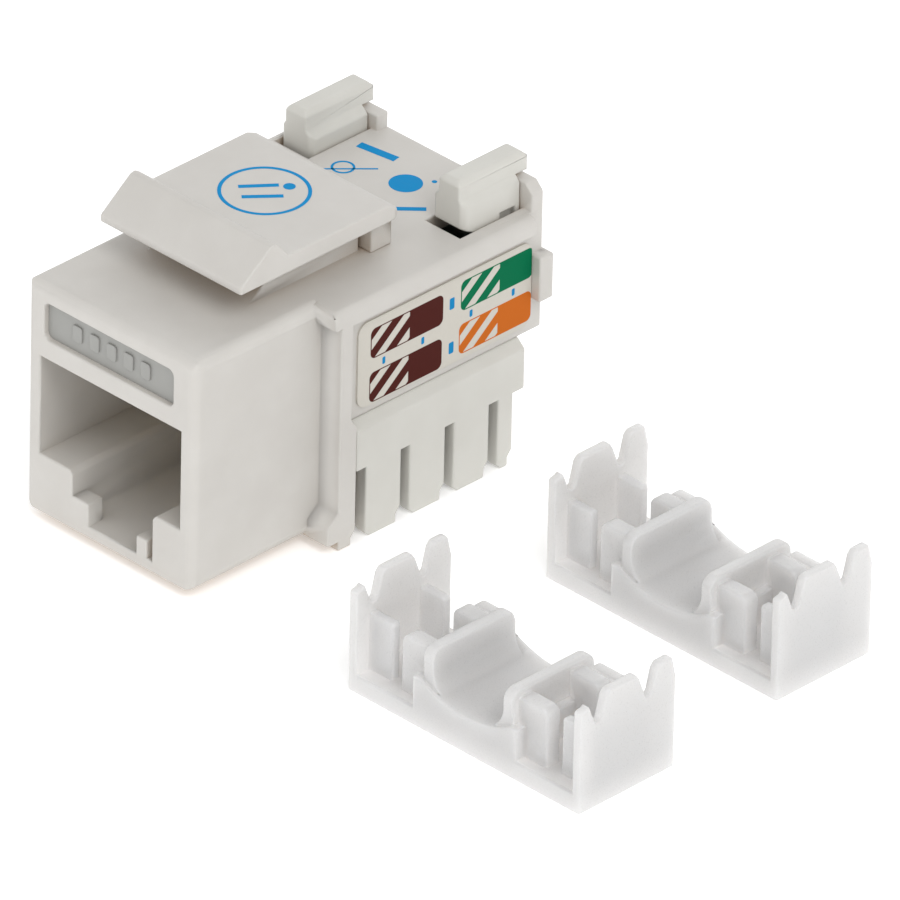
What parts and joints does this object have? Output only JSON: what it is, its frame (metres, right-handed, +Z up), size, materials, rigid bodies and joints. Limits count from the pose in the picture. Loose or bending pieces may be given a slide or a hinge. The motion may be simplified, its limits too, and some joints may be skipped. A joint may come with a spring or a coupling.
{
  "type": "keystone network jack",
  "caption": "Modular keystone network jack with insulation-displacement wire slots below, colour-coded wiring labels, a snap-in latch on top, and loose termination caps lying beside it.",
  "frame": {"origin": "middle of the plug opening, in the plane of the jack's front face", "axes": "+X across the jack towards the loose caps, +Y into the jack from its front face, +Z up towards the keystone latch"},
  "size_m": [0.0489, 0.0284, 0.0213],
  "materials": {
    "housing": "fine satin moulded texture, light warm grey-white",
    "wire_block": "satin moulded, light warm grey-white",
    "label_grey": "smooth cool grey",
    "carrier": "satin moulded, in shade inside the opening",
    "sticker": "semi-gloss printed paper label with striped colour blocks",
    "cap": "glossy natural white polycarbonate",
    "gold": "gold-plated wire",
    "blade": "tin-plated phosphor bronze strip",
    "board": "green solder mask on glass-epoxy board"
  },
  "bodies": {
    "jack": {"front_housing": "housing", "label_plate": "label_grey", "contact_carrier": "carrier", "circuit_board": "board", "idc_block": "wire_block", "wiring_label_left": "sticker", "wiring_label_right": "sticker", "contact_tail_1": "gold", "contact_tail_2": "gold", "contact_tail_3": "gold", "contact_tail_4": "gold", "contact_tail_5": "gold", "contact_tail_6": "gold", "contact_tail_7": "gold", "contact_tail_8": "gold", "idc_contact_1": "blade", "idc_contact_2": "blade", "idc_contact_3": "blade", "idc_contact_4": "blade", "idc_contact_5": "blade", "idc_contact_6": "blade", "idc_contact_7": "blade", "idc_contact_8": "blade"},
    "latch": {"keystone_latch": "housing"},
    "plug_contacts": {"spring_contact_1": "gold", "spring_contact_2": "gold", "spring_contact_3": "gold", "spring_contact_4": "gold", "spring_contact_5": "gold", "spring_contact_6": "gold", "spring_contact_7": "gold", "spring_contact_8": "gold"},
    "left_arm": {"snap_arm_left": "wire_block"},
    "right_arm": {"snap_arm_right": "wire_block"},
    "front_cap": {"termination_cap_front": "cap"},
    "rear_cap": {"termination_cap_rear": "cap"}
  },
  "joints": [
    {"name": "latch_flex", "type": "hinge", "parent": "jack", "child": "latch", "pos_m": [0, 0.01675, 0.00855], "axis": [1, 0, 0], "range_deg": [0, 8], "stiffness_Nm_per_rad": 0.02},
    {"name": "contact_flex", "type": "hinge", "parent": "jack", "child": "plug_contacts", "pos_m": [0, 0.0034, 0.0037], "axis": [1, 0, 0], "range_deg": [0, 8], "stiffness_Nm_per_rad": 0.01},
    {"name": "left_arm_flex", "type": "hinge", "parent": "jack", "child": "left_arm", "pos_m": [0, 0.0252, 0.00025], "axis": [1, 0, 0], "range_deg": [0, 1.8], "stiffness_Nm_per_rad": 0.05},
    {"name": "right_arm_flex", "type": "hinge", "parent": "jack", "child": "right_arm", "pos_m": [0, 0.0252, 0.00025], "axis": [1, 0, 0], "range_deg": [0, 1.8], "stiffness_Nm_per_rad": 0.05},
    {"name": "front_cap_lift", "type": "slide", "parent": "jack", "child": "front_cap", "axis": [0, 0, 1], "range_m": [0, 0.02]},
    {"name": "rear_cap_lift", "type": "slide", "parent": "jack", "child": "rear_cap", "axis": [0, 0, 1], "range_m": [0, 0.02]}
  ]
}
